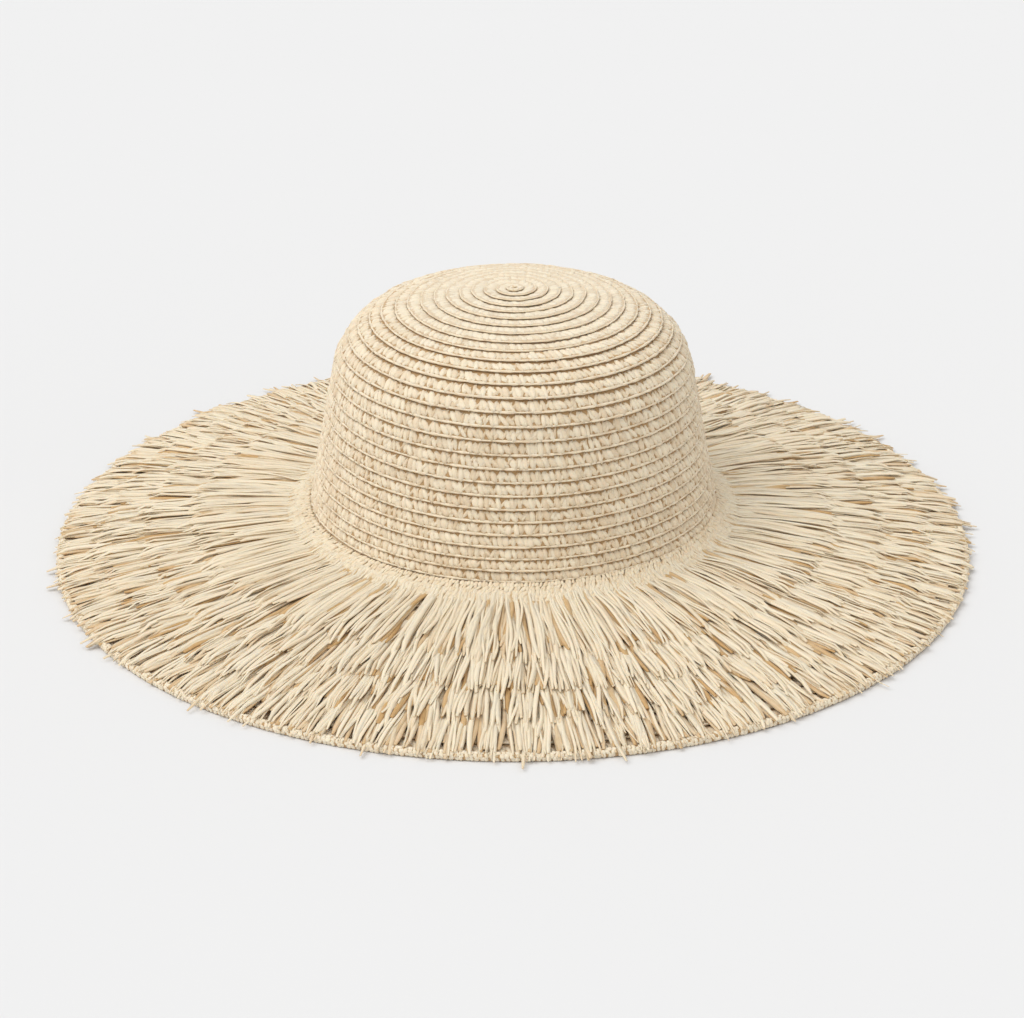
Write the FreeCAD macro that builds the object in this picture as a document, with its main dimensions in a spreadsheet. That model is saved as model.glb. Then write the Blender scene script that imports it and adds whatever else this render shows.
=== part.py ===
import FreeCAD, Part

import math
import os

import Sketcher

# A wide-brimmed straw sun hat, in millimetres, standing on its brim edge at Z = 0 with the crown's axis on Z.
# Crown and brim are one narrow paper braid, wound outwards from the tip and lap-sewn turn to turn.
# Each turn is a ring of its own: its corded lip stands out over the tucked edge of the next turn.
# Four tiers of raffia fringe are sewn to the brim, each by a header tape, and overlap like roof tiles.
# Inside are the sweatband with its stitching, a blank label, and the wire in the rolled brim edge.

# Driving dimensions: lengths in millimetres, leans in degrees away from the vertical.
SIZES = {
    "crown_base_radius": 99.4,
    "crown_base_height": 24.3,
    "wall_lean": 10.4,
    "wall_length": 68.6,
    "base_lean": 12.0,
    "flare_radius": 44.5,
    "shoulder_radius": 37.8,
    "dome_lean": 70.0,
    "brim_lean": 81.5,
    "tip_button_radius": 4.2,
    "pitch_first": 5.6,
    "pitch_middle": 6.7,
    "pitch_last": 5.3,
    "braid_width": 8.6,
    "braid_thickness": 1.1,
    "cord_radius": 0.7,
    "edge_radius": 224.2,
    "edge_roll_radius": 1.9,
    "edge_roll_hollow": 1.15,
    "edge_roll_mouth": 32.0,
    "edge_flat_angle": 25.0,
    "wire_radius": 0.5,
    "wire_turn": 359.4,
    "sleeve_radius": 0.95,
    "sleeve_bore": 0.52,
    "sleeve_turn": 4.0,
    "edge_lip_gap": 1.8,
    "tier_thickness": 1.2,
    "tape_width": 9.0,
    "tape_thickness": 0.8,
    "band_radius": 89.1,
    "band_height": 25.0,
    "band_bottom": 37.0,
    "band_thickness": 0.6,
    "band_flange_drop": 3.6,
    "thread_radius": 0.2,
    "label_width": 26.0,
    "label_height": 13.0,
    "label_thickness": 0.4,
}
CROWN_ROWS = 27
BRIM_ROWS = 17

# Each fringe tier: where its tape starts, as a distance down the brim from the crown, its strand length,
# and the degrees by which its strands lift off the brim, over the tier below or over the rolled edge.
TIERS = ((2.0, 49.0, 4.8), (27.0, 50.0, 4.2), (50.0, 48.0, 3.9), (73.0, 44.0, 1.7))
TAPE_GAP = 0.3  # clear height between the cords of the brim and a tape
LAP_GAP = 0.05  # clear width between parts that are sewn against each other
LABEL_LEAN = 6.0  # degrees from the vertical at which the label hangs
LABEL_DROP = 0.8  # clear height between the sweatband's flange and the label
BACK = 90.0  # the azimuth of the hat's back, in degrees from +X
OUT = "parts"

doc = FreeCAD.newDocument("SunHat")
nodes = []


def make_sheet(name, values):
    """A spreadsheet with each value's name in its first column and the aliased number in its second."""
    sheet = doc.addObject("Spreadsheet::Sheet", name)
    for index, (alias, value) in enumerate(values.items()):
        sheet.set("A%d" % (index + 1), alias)
        sheet.set("B%d" % (index + 1), "%.6f" % value)
        sheet.setAlias("B%d" % (index + 1), alias)
    return sheet


def roll_height():
    """The height of the rolled edge's middle, which stands on a flat as wide as its angle says."""
    return SIZES["edge_roll_radius"] * math.cos(math.radians(SIZES["edge_flat_angle"]))


class Meridian:
    """The line that every corded lip stands on, from the crown's tip to the brim's edge.

    It is four tangent arcs and two straights: dome, shoulder, wall, base flare, brim flare and brim.
    The brim's flare is as round as it takes for the brim to run into the middle of its rolled edge.
    """

    def __init__(self, d):
        wall, base = math.radians(d["wall_lean"]), math.radians(d["base_lean"])
        dome, brim = math.radians(d["dome_lean"]), math.radians(d["brim_lean"])
        level = math.radians(90.0)
        flare, shoulder = d["flare_radius"], d["shoulder_radius"]
        joint = d["crown_base_radius"] - flare * (math.cos(wall) - math.cos(base))
        joint -= d["wall_length"] * math.sin(wall) + shoulder * (math.cos(wall) - math.cos(dome))
        dome_radius = joint / math.cos(dome)
        self.roll = d["edge_radius"] - d["edge_roll_radius"], roll_height()
        drop = self.roll[1] - d["crown_base_height"]
        drop += (self.roll[0] - d["crown_base_radius"]) / math.tan(brim)
        lost = (math.cos(base) - math.cos(brim)) / math.tan(brim)
        brim_flare = drop / (lost - math.sin(brim) + math.sin(base))
        self.leans = (level, dome, wall, wall, base, brim, brim)
        self.lengths = [
            dome_radius * (level - dome),
            shoulder * (dome - wall),
            d["wall_length"],
            flare * (base - wall),
            brim_flare * (brim - base),
            0.0,
        ]
        self.tip_height = (
            d["crown_base_height"]
            + flare * (math.sin(base) - math.sin(wall))
            + d["wall_length"] * math.cos(wall)
            + shoulder * (math.sin(dome) - math.sin(wall))
            + dome_radius * (1.0 - math.sin(dome))
        )
        self.crown_length = sum(self.lengths[:4])
        flare_end = self.at(self.crown_length + self.lengths[4])[0]
        self.lengths[5] = (self.roll[0] - flare_end) / math.sin(brim)
        self.length = sum(self.lengths)

    def at(self, distance):
        """Radius, height and lean (in radians) at a distance from the tip along the line."""
        radius, height, lean, left = 0.0, self.tip_height, self.leans[0], distance
        for length, first, last in zip(self.lengths, self.leans, self.leans[1:]):
            step = min(left, length)
            if step <= 0.0:
                break
            if last == first:
                radius += step * math.sin(first)
                height -= step * math.cos(first)
            else:
                bend = length / (last - first)
                lean = first + step / bend
                radius += bend * (math.cos(first) - math.cos(lean))
                height -= bend * (math.sin(lean) - math.sin(first))
            left -= step
        return radius, height, lean

    def beside(self, distance, out):
        """The point a given distance outside the line, or inside it where that is negative."""
        radius, height, lean = self.at(distance)
        return radius + out * math.cos(lean), height + out * math.sin(lean)


def vector(point):
    return FreeCAD.Vector(point[0], point[1], 0.0)


def along(start, direction, distance, side=0.0):
    """A point a distance along a direction, and another distance to its left."""
    x, y = math.cos(direction), math.sin(direction)
    return start[0] + x * distance - y * side, start[1] + y * distance + x * side


def row_lips(line):
    """Distances of the lips along the meridian: the tip button's, each crown row's, each brim row's."""
    first, middle, last = (SIZES[k] for k in ("pitch_first", "pitch_middle", "pitch_last"))
    bow = 4.0 * middle - 2.0 * (first + last)
    shares = []
    for row in range(CROWN_ROWS):
        t = row / (CROWN_ROWS - 1)
        shares.append(first * (1 - t) + last * t + bow * t * (1 - t))
    button = SIZES["tip_button_radius"]
    scale = (line.crown_length - button) / sum(shares)
    lips = [button]
    for share in shares:
        lips.append(lips[-1] + share * scale)
    pitch = (line.length - SIZES["edge_lip_gap"] - line.crown_length) / BRIM_ROWS
    lips += [line.crown_length + pitch * (row + 1) for row in range(BRIM_ROWS)]
    return lips


def row_names():
    names = ["crown_braid_row_%02d" % (n + 1) for n in range(CROWN_ROWS)]
    return names + ["brim_braid_row_%02d" % (n + 1) for n in range(BRIM_ROWS)]


def point_gap(point, start, end):
    """The distance from a point to a straight piece of line."""
    span = end[0] - start[0], end[1] - start[1]
    part = (point[0] - start[0]) * span[0] + (point[1] - start[1]) * span[1]
    part = min(1.0, max(0.0, part / (span[0] ** 2 + span[1] ** 2)))
    return math.dist(point, (start[0] + span[0] * part, start[1] + span[1] * part))


def tuck_point(line, lip, lip_before, tuck_before):
    """Where a turn's tucked edge goes: as near under the turn before as its cord and its strip let it."""
    thickness, cord = SIZES["braid_thickness"], SIZES["cord_radius"]
    start, depth = line.beside(lip, 0.0), 0.0
    while True:
        tuck = line.beside(lip - SIZES["braid_width"], -depth)
        cord_gap = point_gap(lip_before, start, tuck) - cord - thickness / 2
        strip_gap = point_gap(tuck, lip_before, tuck_before) - thickness
        if min(cord_gap, strip_gap) >= LAP_GAP:
            return tuck
        depth += 0.01


def row_plan(line, lips):
    """Where each row's corded lip and tucked edge stand, as cells of a sheet."""
    cells = {}
    lip_before, tuck_before = line.beside(lips[0], 0.0), line.beside(0.0, 0.0)
    for name, lip in zip(row_names(), lips[1:]):
        tuck = tuck_point(line, lip, lip_before, tuck_before)
        lip_before, tuck_before = line.beside(lip, 0.0), tuck
        cells[name + "_lip_r"], cells[name + "_lip_z"] = lip_before
        cells[name + "_tuck_r"], cells[name + "_tuck_z"] = tuck
    return cells


def inner_radius(cells, height):
    """The radius of the crown's inner face at a height on its wall: the row's that reaches in furthest."""
    radii = []
    for name in row_names():
        lip = cells[name + "_lip_r"], cells[name + "_lip_z"]
        tuck = cells[name + "_tuck_r"], cells[name + "_tuck_z"]
        if lip[1] <= height <= tuck[1] + SIZES["braid_thickness"]:
            share = min(1.0, (height - lip[1]) / (tuck[1] - lip[1]))
            radii.append(lip[0] + (tuck[0] - lip[0]) * share)
    return min(radii) - SIZES["braid_thickness"] / 2


def tier_plan(line):
    """Where each header tape and each strand layer starts, and how steeply it falls, as cells of a sheet."""
    cells = {}
    lift = SIZES["cord_radius"] + TAPE_GAP
    for number, (start, strand, rise) in enumerate(TIERS, 1):
        top = line.crown_length + start + SIZES["cord_radius"]
        low = top + SIZES["tape_width"]
        ends = line.beside(top, lift), line.beside(low, lift)
        fall = math.atan2(ends[0][1] - ends[1][1], ends[1][0] - ends[0][0])
        name = "fringe_%d" % number
        cells[name + "_tape_r"], cells[name + "_tape_z"] = ends[0]
        cells[name + "_tape_fall"] = math.degrees(fall)
        strand_fall = 90.0 - SIZES["brim_lean"] - rise
        gap = LAP_GAP + SIZES["tier_thickness"] * math.sin(fall - math.radians(strand_fall))
        start_point = along(ends[0], -fall, SIZES["tape_width"] + gap)
        cells[name + "_strand_r"], cells[name + "_strand_z"] = start_point
        cells[name + "_strand_fall"] = strand_fall
        cells[name + "_strand_length"] = strand
    return cells


def band_plan(rows):
    """The sweatband's flange, from its lower edge out to the crown's inner face, as cells of a sheet."""
    thickness = SIZES["band_thickness"]
    start = SIZES["band_radius"], SIZES["band_bottom"]
    end_z = start[1] - SIZES["band_flange_drop"]
    end_r = inner_radius(rows, end_z + thickness) - thickness - LAP_GAP
    fall = math.atan2(start[1] - end_z, end_r - start[0])
    length = math.dist(start, (end_r, end_z))
    seam = along(start, -fall, length - 1.5, -SIZES["thread_radius"] - LAP_GAP)
    return {
        "flange_length": length,
        "flange_fall": math.degrees(fall),
        "seam_r": seam[0],
        "seam_z": seam[1],
        "label_r": end_r - 2.2,
        "label_z": end_z - LABEL_DROP,
    }


def add_node(label, feature):
    feature.Label = label
    nodes.append(feature)
    return feature


def new_sketch(body):
    """A sketch on the body's own XZ plane: its x is the radius and its y the height."""
    plane = [f for f in body.Origin.OriginFeatures if f.Role == "XZ_Plane"][0]
    sketch = body.newObject("Sketcher::SketchObject", body.Name + "_outline")
    sketch.AttachmentSupport = [(plane, "")]
    sketch.MapMode = "FlatFace"
    return sketch


def bind(sketch, constraint, formula):
    """Adds a dimension to a sketch and ties it to a formula on the sheets' cells."""
    index = sketch.addConstraint(constraint)
    sketch.setExpression("Constraints[%d]" % index, formula)


def fix_point(sketch, geometry, end, r_formula, z_formula, at):
    """Fixes one end of a piece of geometry at a radius and height."""
    bind(sketch, Sketcher.Constraint("DistanceX", -1, 1, geometry, end, at[0]), r_formula)
    bind(sketch, Sketcher.Constraint("DistanceY", -1, 1, geometry, end, at[1]), z_formula)


def revolve(body, sketch):
    """Turns a body's outline once round the hat's axis."""
    feature = body.newObject("PartDesign::Revolution", body.Name + "_turn")
    feature.Profile = sketch
    feature.ReferenceAxis = (sketch, ["V_Axis"])
    feature.Angle = 360.0
    sketch.Visibility = False
    body.Tip = feature
    return feature


def braid_row(name, cells):
    """One turn of braid: a flat strip from its tucked edge to a round cord along its lip."""
    body = doc.addObject("PartDesign::Body", name)
    sketch = new_sketch(body)
    lip = cells[name + "_lip_r"], cells[name + "_lip_z"]
    tuck = cells[name + "_tuck_r"], cells[name + "_tuck_z"]
    half, cord = SIZES["braid_thickness"] / 2, SIZES["cord_radius"]
    heading = math.atan2(tuck[1] - lip[1], tuck[0] - lip[0])
    reach = math.sqrt(cord * cord - half * half)
    length = math.dist(lip, tuck)
    left_low, left_top = along(lip, heading, reach, half), along(lip, heading, length, half)
    right_low, right_top = along(lip, heading, reach, -half), along(lip, heading, length, -half)
    middle = sketch.addGeometry(Part.LineSegment(vector(lip), vector(tuck)), True)
    left = sketch.addGeometry(Part.LineSegment(vector(left_low), vector(left_top)))
    top = sketch.addGeometry(Part.LineSegment(vector(left_top), vector(right_top)))
    right = sketch.addGeometry(Part.LineSegment(vector(right_top), vector(right_low)))
    opening = math.asin(half / cord)
    circle = Part.Circle(vector(lip), FreeCAD.Vector(0, 0, 1), cord)
    arc = sketch.addGeometry(
        Part.ArcOfCircle(circle, heading + opening, heading + 2 * math.pi - opening)
    )
    sketch.addConstraint(
        [
            Sketcher.Constraint("Coincident", arc, 3, middle, 1),
            Sketcher.Constraint("Coincident", arc, 1, left, 1),
            Sketcher.Constraint("Coincident", left, 2, top, 1),
            Sketcher.Constraint("Coincident", top, 2, right, 1),
            Sketcher.Constraint("Coincident", right, 2, arc, 2),
            Sketcher.Constraint("Parallel", left, middle),
            Sketcher.Constraint("Parallel", right, middle),
            Sketcher.Constraint("Symmetric", top, 1, top, 2, middle, 2),
        ]
    )
    fix_point(sketch, middle, 1, "plan.%s_lip_r" % name, "plan.%s_lip_z" % name, lip)
    fix_point(sketch, middle, 2, "plan.%s_tuck_r" % name, "plan.%s_tuck_z" % name, tuck)
    bind(sketch, Sketcher.Constraint("Radius", arc, cord), "sizes.cord_radius")
    bind(sketch, Sketcher.Constraint("Distance", top, 2 * half), "sizes.braid_thickness")
    sketch.addConstraint(Sketcher.Constraint("Perpendicular", top, middle))
    revolve(body, sketch)
    return add_node(name, body)


def tip_button(line):
    """The tight first coil at the crown's tip: a round cushion with the same cord round its rim."""
    body = doc.addObject("PartDesign::Body", "crown_tip_button")
    sketch = new_sketch(body)
    radius, cord, half = SIZES["tip_button_radius"], SIZES["cord_radius"], SIZES["braid_thickness"] / 2
    top = line.tip_height
    reach = radius - math.sqrt(cord * cord - half * half)
    points = [(0.0, top - half), (reach, top - half), (reach, top + half), (0.0, top + half)]
    under = sketch.addGeometry(Part.LineSegment(vector(points[0]), vector(points[1])))
    over = sketch.addGeometry(Part.LineSegment(vector(points[2]), vector(points[3])))
    axis = sketch.addGeometry(Part.LineSegment(vector(points[3]), vector(points[0])))
    circle = Part.Circle(vector((radius, top)), FreeCAD.Vector(0, 0, 1), cord)
    opening = math.asin(half / cord)
    arc = sketch.addGeometry(Part.ArcOfCircle(circle, math.pi + opening, 3 * math.pi - opening))
    sketch.addConstraint(
        [
            Sketcher.Constraint("Coincident", under, 2, arc, 1),
            Sketcher.Constraint("Coincident", arc, 2, over, 1),
            Sketcher.Constraint("Coincident", over, 2, axis, 1),
            Sketcher.Constraint("Coincident", axis, 2, under, 1),
            Sketcher.Constraint("Horizontal", under),
            Sketcher.Constraint("Horizontal", over),
            Sketcher.Constraint("PointOnObject", axis, 1, -2),
            Sketcher.Constraint("PointOnObject", axis, 2, -2),
        ]
    )
    fix_point(sketch, arc, 3, "sizes.tip_button_radius", "plan.tip_height", (radius, top))
    bind(sketch, Sketcher.Constraint("Radius", arc, cord), "sizes.cord_radius")
    for low_end, high_end in (((arc, 3), (over, 1)), ((under, 2), (arc, 3))):
        rise = Sketcher.Constraint("DistanceY", *low_end, *high_end, half)
        bind(sketch, rise, "sizes.braid_thickness / 2")
    revolve(body, sketch)
    return add_node("crown_tip_button", body)


def flat_ring(name, start, fall, length, thickness):
    """A thin flat ring, such as a tape or a strand layer. Each size is a pair: its formula and its value."""
    body = doc.addObject("PartDesign::Body", name)
    sketch = new_sketch(body)
    (r_formula, z_formula), at = start
    heading = -math.radians(fall[1])
    corners = [
        at,
        along(at, heading, length[1]),
        along(at, heading, length[1], thickness[1]),
        along(at, heading, 0.0, thickness[1]),
    ]
    sides = []
    for n in range(4):
        side = Part.LineSegment(vector(corners[n]), vector(corners[(n + 1) % 4]))
        sides.append(sketch.addGeometry(side))
    for n in range(4):
        sketch.addConstraint(Sketcher.Constraint("Coincident", sides[n], 2, sides[(n + 1) % 4], 1))
    sketch.addConstraint(Sketcher.Constraint("Parallel", sides[0], sides[2]))
    sketch.addConstraint(Sketcher.Constraint("Parallel", sides[1], sides[3]))
    sketch.addConstraint(Sketcher.Constraint("Perpendicular", sides[0], sides[1]))
    fix_point(sketch, sides[0], 1, r_formula, z_formula, at)
    bind(sketch, Sketcher.Constraint("Distance", sides[0], length[1]), length[0])
    bind(sketch, Sketcher.Constraint("Distance", sides[1], thickness[1]), thickness[0])
    bind(sketch, Sketcher.Constraint("Angle", sides[0], heading), "-1deg * %s" % fall[0])
    revolve(body, sketch)
    return add_node(name, body)


def fringe(cells):
    """Header tapes and strand layers of the four fringe tiers, from the crown outwards."""
    for number in range(1, len(TIERS) + 1):
        name = "fringe_%d" % number
        for kind, node, length, thickness in (
            ("tape", "fringe_header_tape_%d" % number, "sizes.tape_width", "tape_thickness"),
            ("strand", "fringe_tier_%d" % number, "plan.%s_strand_length" % name, "tier_thickness"),
        ):
            key = "%s_%s" % (name, kind)
            size = SIZES["tape_width"] if kind == "tape" else cells[name + "_strand_length"]
            flat_ring(
                node,
                (("plan.%s_r" % key, "plan.%s_z" % key), (cells[key + "_r"], cells[key + "_z"])),
                ("plan.%s_fall" % key, cells[key + "_fall"]),
                (length, size),
                ("sizes." + thickness, SIZES[thickness]),
            )


def edge_binding():
    """The rolled brim edge: braid folded round the wire, open towards the crown and flattened underneath."""
    body = doc.addObject("PartDesign::Body", "brim_edge_binding")
    sketch = new_sketch(body)
    outer, hollow = SIZES["edge_roll_radius"], SIZES["edge_roll_hollow"]
    mouth, flat = math.radians(SIZES["edge_roll_mouth"]), math.radians(SIZES["edge_flat_angle"])
    centre = SIZES["edge_radius"] - outer, roll_height()
    up = FreeCAD.Vector(0, 0, 1)
    big, small = Part.Circle(vector(centre), up, outer), Part.Circle(vector(centre), up, hollow)
    top = sketch.addGeometry(Part.ArcOfCircle(big, -math.pi / 2 + flat, math.pi - mouth))
    low = sketch.addGeometry(Part.ArcOfCircle(big, -math.pi + mouth, -math.pi / 2 - flat))
    inner = sketch.addGeometry(Part.ArcOfCircle(small, -math.pi + mouth, math.pi - mouth))

    def join(a, b):
        return sketch.addGeometry(Part.LineSegment(a, b))

    places = ((low, 2), (top, 1), (top, 2), (inner, 2), (inner, 1), (low, 1))
    ends = [sketch.getPoint(geometry, end) for geometry, end in places]
    rest, upper, lower = join(ends[0], ends[1]), join(ends[2], ends[3]), join(ends[4], ends[5])
    pairs = ((low, 2, rest, 1), (rest, 2, top, 1), (top, 2, upper, 1), (upper, 2, inner, 2))
    for pair in pairs + ((inner, 1, lower, 1), (lower, 2, low, 1), (low, 3, top, 3), (inner, 3, top, 3)):
        sketch.addConstraint(Sketcher.Constraint("Coincident", *pair))
    for cap in (upper, lower):
        sketch.addConstraint(Sketcher.Constraint("PointOnObject", top, 3, cap))
    sketch.addConstraint(Sketcher.Constraint("Horizontal", rest))
    sketch.addConstraint(Sketcher.Constraint("Equal", top, low))
    height = "sizes.edge_roll_radius * cos(sizes.edge_flat_angle * 1deg)"
    fix_point(sketch, top, 3, "sizes.edge_radius - sizes.edge_roll_radius", height, centre)
    bind(sketch, Sketcher.Constraint("Radius", top, outer), "sizes.edge_roll_radius")
    bind(sketch, Sketcher.Constraint("Radius", inner, hollow), "sizes.edge_roll_hollow")
    bind(sketch, Sketcher.Constraint("DistanceY", -1, 1, rest, 1, 0.0), "0")
    bind(sketch, Sketcher.Constraint("Angle", upper, -mouth), "-1deg * sizes.edge_roll_mouth")
    low_angle = "1deg * sizes.edge_roll_mouth - 180deg"
    bind(sketch, Sketcher.Constraint("Angle", lower, mouth - math.pi), low_angle)
    revolve(body, sketch)
    return add_node("brim_edge_binding", body)


def sweatband(cells):
    """The upright band inside the crown, with a flange from its lower edge to the crown's inner face."""
    body = doc.addObject("PartDesign::Body", "sweatband")
    sketch = new_sketch(body)
    inner, bottom = SIZES["band_radius"], SIZES["band_bottom"]
    thickness, top = SIZES["band_thickness"], SIZES["band_bottom"] + SIZES["band_height"]
    heading = -math.radians(cells["flange_fall"])
    end = along((inner, bottom), heading, cells["flange_length"])
    outer_end = along((inner, bottom), heading, cells["flange_length"], thickness)
    bend = inner + thickness, bottom + thickness
    corners = [(inner, top), (inner, bottom), end, outer_end, bend, (inner + thickness, top)]
    sides = []
    for n in range(6):
        side = Part.LineSegment(vector(corners[n]), vector(corners[(n + 1) % 6]))
        sides.append(sketch.addGeometry(side))
    for n in range(6):
        sketch.addConstraint(Sketcher.Constraint("Coincident", sides[n], 2, sides[(n + 1) % 6], 1))
    sketch.addConstraint(Sketcher.Constraint("Vertical", sides[0]))
    sketch.addConstraint(Sketcher.Constraint("Vertical", sides[4]))
    sketch.addConstraint(Sketcher.Constraint("Horizontal", sides[5]))
    sketch.addConstraint(Sketcher.Constraint("Parallel", sides[1], sides[3]))
    sketch.addConstraint(Sketcher.Constraint("Perpendicular", sides[1], sides[2]))
    fix_point(sketch, sides[0], 2, "sizes.band_radius", "sizes.band_bottom", (inner, bottom))
    bind(sketch, Sketcher.Constraint("Distance", sides[0], top - bottom), "sizes.band_height")
    bind(sketch, Sketcher.Constraint("Distance", sides[5], thickness), "sizes.band_thickness")
    bind(sketch, Sketcher.Constraint("Distance", sides[2], thickness), "sizes.band_thickness")
    bind(sketch, Sketcher.Constraint("Distance", sides[1], cells["flange_length"]), "plan.flange_length")
    bind(sketch, Sketcher.Constraint("Angle", sides[1], heading), "-1deg * plan.flange_fall")
    revolve(body, sketch)
    return add_node("sweatband", body)


def ring(name, radius, height, thickness, turn="360"):
    """A torus or part of one about the hat's axis, whose sizes are formulas, with any gap at the back."""
    torus = doc.addObject("Part::Torus", name)
    torus.setExpression("Radius1", "(%s) * 1mm" % radius)
    torus.setExpression("Radius2", "(%s) * 1mm" % thickness)
    torus.setExpression("Angle3", "(%s) * 1deg" % turn)
    torus.setExpression(".Placement.Base.z", "(%s) * 1mm" % height)
    torus.setExpression(".Placement.Rotation.Angle", "(%f - (%s) / 2) * 1deg" % (BACK, turn))
    return torus


def sweatband_stitching():
    return add_node(
        "sweatband_stitching",
        ring("band_stitches", "plan.seam_r", "plan.seam_z", "sizes.thread_radius"),
    )


def edge_wire():
    """The spring wire inside the rolled edge, and the crimped sleeve that joins its two ends at the back."""
    radius = "sizes.edge_radius - sizes.edge_roll_radius"
    height = "sizes.edge_roll_radius * cos(sizes.edge_flat_angle * 1deg)"
    wire = ring("edge_wire", radius, height, "sizes.wire_radius", "sizes.wire_turn")
    wire.setExpression(".Placement.Rotation.Angle", "(%f + 180 - sizes.wire_turn / 2) * 1deg" % BACK)
    add_node("brim_edge_wire", wire)
    outer = ring("sleeve_outside", radius, height, "sizes.sleeve_radius", "sizes.sleeve_turn")
    bore = ring("sleeve_inside", radius, height, "sizes.sleeve_bore", "sizes.sleeve_turn")
    sleeve = doc.addObject("Part::Cut", "wire_sleeve")
    sleeve.Base, sleeve.Tool = outer, bore
    add_node("wire_joint_sleeve", sleeve)


def size_label():
    """The blank label that hangs from the sweatband's flange, inside at the back."""
    label = doc.addObject("Part::Box", "label_blank")
    label.setExpression("Length", "sizes.label_width * 1mm")
    label.setExpression("Width", "sizes.label_thickness * 1mm")
    label.setExpression("Height", "sizes.label_height * 1mm")
    label.Placement.Rotation = FreeCAD.Rotation(FreeCAD.Vector(1, 0, 0), LABEL_LEAN)
    drop = "sizes.label_height * %s(%f deg)"
    label.setExpression(".Placement.Base.x", "-sizes.label_width / 2 * 1mm")
    label.setExpression(
        ".Placement.Base.y", "(plan.label_r + %s) * 1mm" % (drop % ("sin", LABEL_LEAN))
    )
    label.setExpression(
        ".Placement.Base.z", "(plan.label_z - %s) * 1mm" % (drop % ("cos", LABEL_LEAN))
    )
    return add_node("size_label", label)


def export():
    """Checks every object and every node's shape, then writes one STEP file per node."""
    doc.recompute()
    for item in doc.Objects:
        if "Invalid" in item.State or "Error" in item.State:
            raise RuntimeError("%s did not recompute: %s" % (item.Label, item.State))
    for node in nodes:
        if node.Shape.isNull() or not node.Shape.isValid() or len(node.Shape.Solids) != 1:
            raise RuntimeError("%s is not one valid solid" % node.Label)
    os.makedirs(OUT, exist_ok=True)
    for node in nodes:
        node.Shape.exportStep(os.path.join(OUT, node.Label + ".step"))


line = Meridian(SIZES)
lips = row_lips(line)
rows, tiers = row_plan(line, lips), tier_plan(line)
band = band_plan(rows)
sizes = make_sheet("sizes", SIZES)
plan = make_sheet("plan", {"tip_height": line.tip_height, **rows, **tiers, **band})
doc.recompute()

tip_button(line)
for row in row_names():
    braid_row(row, rows)
edge_binding()
fringe(tiers)
sweatband(band)
sweatband_stitching()
size_label()
edge_wire()
export()
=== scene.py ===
"""Straw sun hat: a coiled paper-braid crown and a brim covered by four tiers of raffia fringe."""

import math
from functools import cache

import bmesh
import bpy
import numpy as np
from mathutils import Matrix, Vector


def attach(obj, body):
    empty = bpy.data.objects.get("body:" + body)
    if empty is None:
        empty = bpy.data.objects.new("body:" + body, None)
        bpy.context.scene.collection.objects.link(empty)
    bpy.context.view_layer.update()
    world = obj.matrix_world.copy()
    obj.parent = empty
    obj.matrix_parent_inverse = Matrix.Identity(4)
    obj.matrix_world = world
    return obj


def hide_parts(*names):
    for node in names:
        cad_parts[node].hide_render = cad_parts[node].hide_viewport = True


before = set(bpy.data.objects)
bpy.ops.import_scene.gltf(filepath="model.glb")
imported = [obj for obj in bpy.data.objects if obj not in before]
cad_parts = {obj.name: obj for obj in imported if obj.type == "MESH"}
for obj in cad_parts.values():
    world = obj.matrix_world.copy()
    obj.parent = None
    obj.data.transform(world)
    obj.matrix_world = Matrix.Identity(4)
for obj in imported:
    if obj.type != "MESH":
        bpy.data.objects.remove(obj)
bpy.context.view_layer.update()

bl_info = {
    "name": "Straw Sun Hat",
    "version": (1, 0, 0),
    "blender": (4, 5, 0),
    "location": "View3D > Sidebar > Hat",
    "description": "Builds a wide-brimmed straw sun hat with a coiled braid crown and a raffia fringe",
    "category": "Add Mesh",
}

CORD_RADIUS = 0.0007
CROWN_TURNS = 27
BRIM_TURNS = 17
TIERS = 4
TURN_START = math.radians(-62.0)
RADIUS, HEIGHT = 0, 1  # the columns of an outline

# How the hand-guided braid wanders from an even spiral: the size and the rate per turn of each wave, and the
# kink where each of the first turns passes its start, wide as a share of a turn.
WANDER = ((0.00014, 21.3), (0.00011, 47.9), (0.00009, 90.7), (0.00008, 337.0), (0.00007, 601.0))
KINK_SIZE, KINK_WIDTH, KINK_RATE, KINKED_TURNS = 0.0017, 0.045, 2.6, 15.0
STEADY_RADIUS = 0.02  # within it the wander dies down towards the tip
TIP_RISE = 0.0004

# The braid's strip: its half thickness, how much thicker a flat turn is, and how far it starts from the cord.
STRIP_HALF, STRIP_EXTRA, STRIP_START = 0.00028, 0.00014, 0.0003
INNER_TONE = 0.62

ROLL_RADIUS, ROLL_HOLLOW = 0.0019, 0.00115
LABEL_THICKNESS = 0.0004
CAMERA_AIM = Vector((-0.0005, 0.0, 0.0161))
LIGHTS = (("key", (-0.8, -0.25, 1.3), 50.0), ("fill", (0.5, -1.0, 1.0), 90.0))
FLOOR_CORNERS = ((-6.0, -6.0, 0.0), (6.0, -6.0, 0.0), (6.0, 6.0, 0.0), (-6.0, 6.0, 0.0))

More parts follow.
